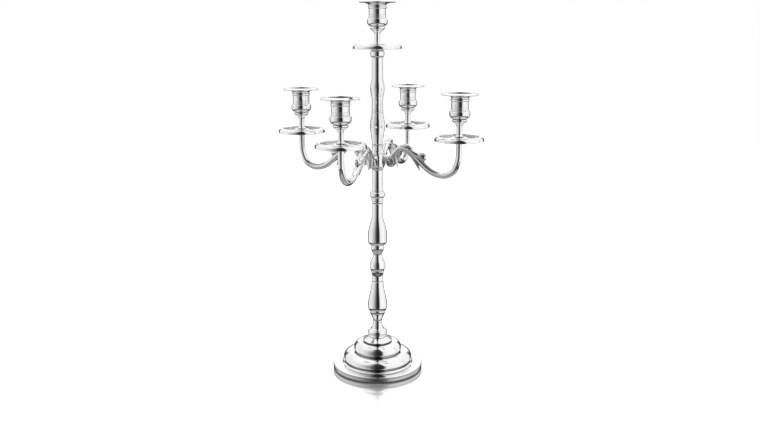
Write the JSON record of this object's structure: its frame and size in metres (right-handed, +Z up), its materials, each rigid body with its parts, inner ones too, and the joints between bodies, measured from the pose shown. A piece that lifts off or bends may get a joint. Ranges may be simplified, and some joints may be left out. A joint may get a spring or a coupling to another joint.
{
  "type": "candelabra",
  "caption": "Tabletop candelabra in polished nickel plate: stepped round foot, turned baluster column, scrolled arms, drip pans and candle sockets with lift-out nozzles.",
  "frame": {"origin": "centre of the felt's underside, on the table top, on the axis of the column", "axes": "+Z up along the column; +X and +Y along two of the four arms"},
  "size_m": [0.348, 0.348, 0.6],
  "materials": {
    "nickel_plate": "cast aluminium, nickel plated and polished to a mirror",
    "zinc_steel": "zinc plated threaded steel",
    "black_felt": "glued pressed felt"
  },
  "bodies": {
    "stand": {"arm_back": "nickel_plate", "arm_front": "nickel_plate", "arm_hub": "nickel_plate", "arm_left": "nickel_plate", "arm_right": "nickel_plate", "arm_screw_back": "zinc_steel", "arm_screw_front": "zinc_steel", "arm_screw_left": "zinc_steel", "arm_screw_right": "zinc_steel", "candle_socket_back": "nickel_plate", "candle_socket_front": "nickel_plate", "candle_socket_left": "nickel_plate", "candle_socket_right": "nickel_plate", "candle_socket_top": "nickel_plate", "column_knop": "nickel_plate", "cup_stem_back": "nickel_plate", "cup_stem_front": "nickel_plate", "cup_stem_left": "nickel_plate", "cup_stem_right": "nickel_plate", "cup_stem_top": "nickel_plate", "cup_stud_back": "zinc_steel", "cup_stud_front": "zinc_steel", "cup_stud_left": "zinc_steel", "cup_stud_right": "zinc_steel", "cup_stud_top": "zinc_steel", "drip_pan_back": "nickel_plate", "drip_pan_front": "nickel_plate", "drip_pan_left": "nickel_plate", "drip_pan_right": "nickel_plate", "drip_pan_top": "nickel_plate", "felt_pad": "black_felt", "foot_bell": "nickel_plate", "foot_casting": "nickel_plate", "hub_cone": "nickel_plate", "hub_stem": "nickel_plate", "lower_knop": "nickel_plate", "lower_tie_rod": "zinc_steel", "lower_vase": "nickel_plate", "middle_baluster": "nickel_plate", "pan_boss_back": "nickel_plate", "pan_boss_front": "nickel_plate", "pan_boss_left": "nickel_plate", "pan_boss_right": "nickel_plate", "rod_nut": "zinc_steel", "rod_washer": "zinc_steel", "top_collar": "nickel_plate", "upper_spindle": "nickel_plate", "upper_tie_rod": "zinc_steel", "upper_vase": "nickel_plate"},
    "nozzle_top": {"candle_nozzle_top": "nickel_plate"},
    "nozzle_right": {"candle_nozzle_right": "nickel_plate"},
    "nozzle_back": {"candle_nozzle_back": "nickel_plate"},
    "nozzle_left": {"candle_nozzle_left": "nickel_plate"},
    "nozzle_front": {"candle_nozzle_front": "nickel_plate"}
  },
  "joints": [
    {"name": "nozzle_top_lift", "type": "slide", "parent": "stand", "child": "nozzle_top", "axis": [0, 0, 1], "range_m": [0, 0.018]},
    {"name": "nozzle_right_lift", "type": "slide", "parent": "stand", "child": "nozzle_right", "axis": [0, 0, 1], "range_m": [0, 0.018]},
    {"name": "nozzle_back_lift", "type": "slide", "parent": "stand", "child": "nozzle_back", "axis": [0, 0, 1], "range_m": [0, 0.018]},
    {"name": "nozzle_left_lift", "type": "slide", "parent": "stand", "child": "nozzle_left", "axis": [0, 0, 1], "range_m": [0, 0.018]},
    {"name": "nozzle_front_lift", "type": "slide", "parent": "stand", "child": "nozzle_front", "axis": [0, 0, 1], "range_m": [0, 0.018]}
  ]
}
